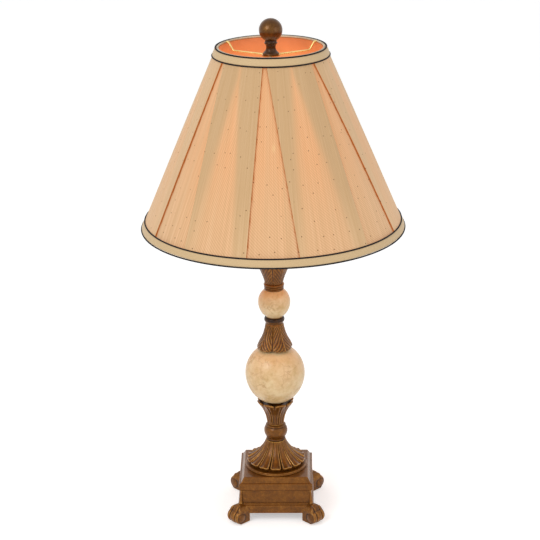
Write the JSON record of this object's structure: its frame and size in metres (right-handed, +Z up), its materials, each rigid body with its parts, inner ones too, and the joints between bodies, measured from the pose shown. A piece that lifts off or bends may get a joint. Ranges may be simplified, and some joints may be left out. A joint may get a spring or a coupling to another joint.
{
  "type": "column table lamp",
  "caption": "Table lamp with a turned column of balls and leaf castings on a square footed plinth, under a pleated empire shade with a ball finial.",
  "frame": {"origin": "on the floor under the column's axis, at the middle of the base", "axes": "+Z up along the column; the front, with the switch knob, faces -Y; the cord inlet faces +Y"},
  "size_m": [0.4044, 0.4044, 0.7973],
  "materials": {
    "bronze_resin": "satin",
    "marbled_resin": "gloss",
    "felt": "matte",
    "steel": "satin",
    "fibreboard": "matte",
    "iron": "matte",
    "black_plastic": "satin",
    "brass": "satin",
    "card": "matte",
    "solder": "satin",
    "black_glass": "gloss",
    "aluminium": "satin",
    "bulb_glass": "satin",
    "clear_glass": "polished",
    "filament": "satin",
    "wire": "satin",
    "shade_fabric": "satin",
    "shade_lining": "matte",
    "trim_fabric": "satin",
    "piping": "satin"
  },
  "bodies": {
    "lamp_body": {"felt_pads": "felt", "foot_rear_right": "bronze_resin", "foot_rear_left": "bronze_resin", "foot_front_left": "bronze_resin", "foot_front_right": "bronze_resin", "foot_screws": "steel", "base_molding": "bronze_resin", "bottom_cover": "fibreboard", "base_weight": "iron", "plinth_block": "bronze_resin", "cord_bushing": "black_plastic", "plinth_cap": "bronze_resin", "rod_nut": "steel", "rod_washer": "steel", "threaded_rod": "steel", "foot_disc": "bronze_resin", "fluted_foot": "bronze_resin", "neck_ring": "bronze_resin", "knob": "bronze_resin", "leaf_vase": "bronze_resin", "large_ball": "marbled_resin", "leaf_bell": "bronze_resin", "middle_collar": "bronze_resin", "small_ball": "marbled_resin", "upper_collar": "bronze_resin", "upper_cup": "bronze_resin", "vase_cap": "brass", "neck_tube": "brass", "harp_saddle": "brass", "harp_wire": "brass", "harp_swivel": "brass", "socket_cap": "brass", "socket_shell": "brass", "socket_insulator": "card", "socket_body": "black_plastic", "socket_screw_shell": "brass", "socket_contact": "brass"},
    "shade": {"spider_washer": "brass", "spider_arms": "brass", "shade_top_ring": "wire", "shade_bottom_ring": "wire", "shade_lining": "shade_lining", "shade_fabric": "shade_fabric", "top_band": "trim_fabric", "top_pipings": "piping", "bottom_band": "trim_fabric", "bottom_pipings": "piping"},
    "finial": {"finial": "bronze_resin", "finial_insert": "brass"},
    "bulb": {"bulb_contact": "solder", "bulb_insulator": "black_glass", "bulb_screw_base": "aluminium", "bulb_glass": "bulb_glass", "bulb_stem": "clear_glass", "bulb_filament": "filament"},
    "switch": {"switch_shaft": "steel", "switch_knob": "black_plastic"},
    "ferrule_left": {"ferrule_left": "brass"},
    "ferrule_right": {"ferrule_right": "brass"}
  },
  "joints": [
    {"name": "shade_turn", "type": "hinge", "parent": "lamp_body", "child": "shade", "pos_m": [0, 0, 0.7422], "axis": [0, 0, 1], "continuous": true},
    {"name": "finial_turn", "type": "hinge", "parent": "lamp_body", "child": "finial", "pos_m": [0, 0, 0.745], "axis": [0, 0, 1], "continuous": true},
    {"name": "bulb_turn", "type": "hinge", "parent": "lamp_body", "child": "bulb", "pos_m": [0, 0, 0.54], "axis": [0, 0, 1], "continuous": true},
    {"name": "switch_turn", "type": "hinge", "parent": "lamp_body", "child": "switch", "pos_m": [0, -0.03, 0.51499], "axis": [0, -1, 0], "continuous": true},
    {"name": "ferrule_left_slide", "type": "slide", "parent": "lamp_body", "child": "ferrule_left", "axis": [0, 0, 1], "range_m": [0, 0.012]},
    {"name": "ferrule_right_slide", "type": "slide", "parent": "lamp_body", "child": "ferrule_right", "axis": [0, 0, 1], "range_m": [0, 0.012]}
  ]
}
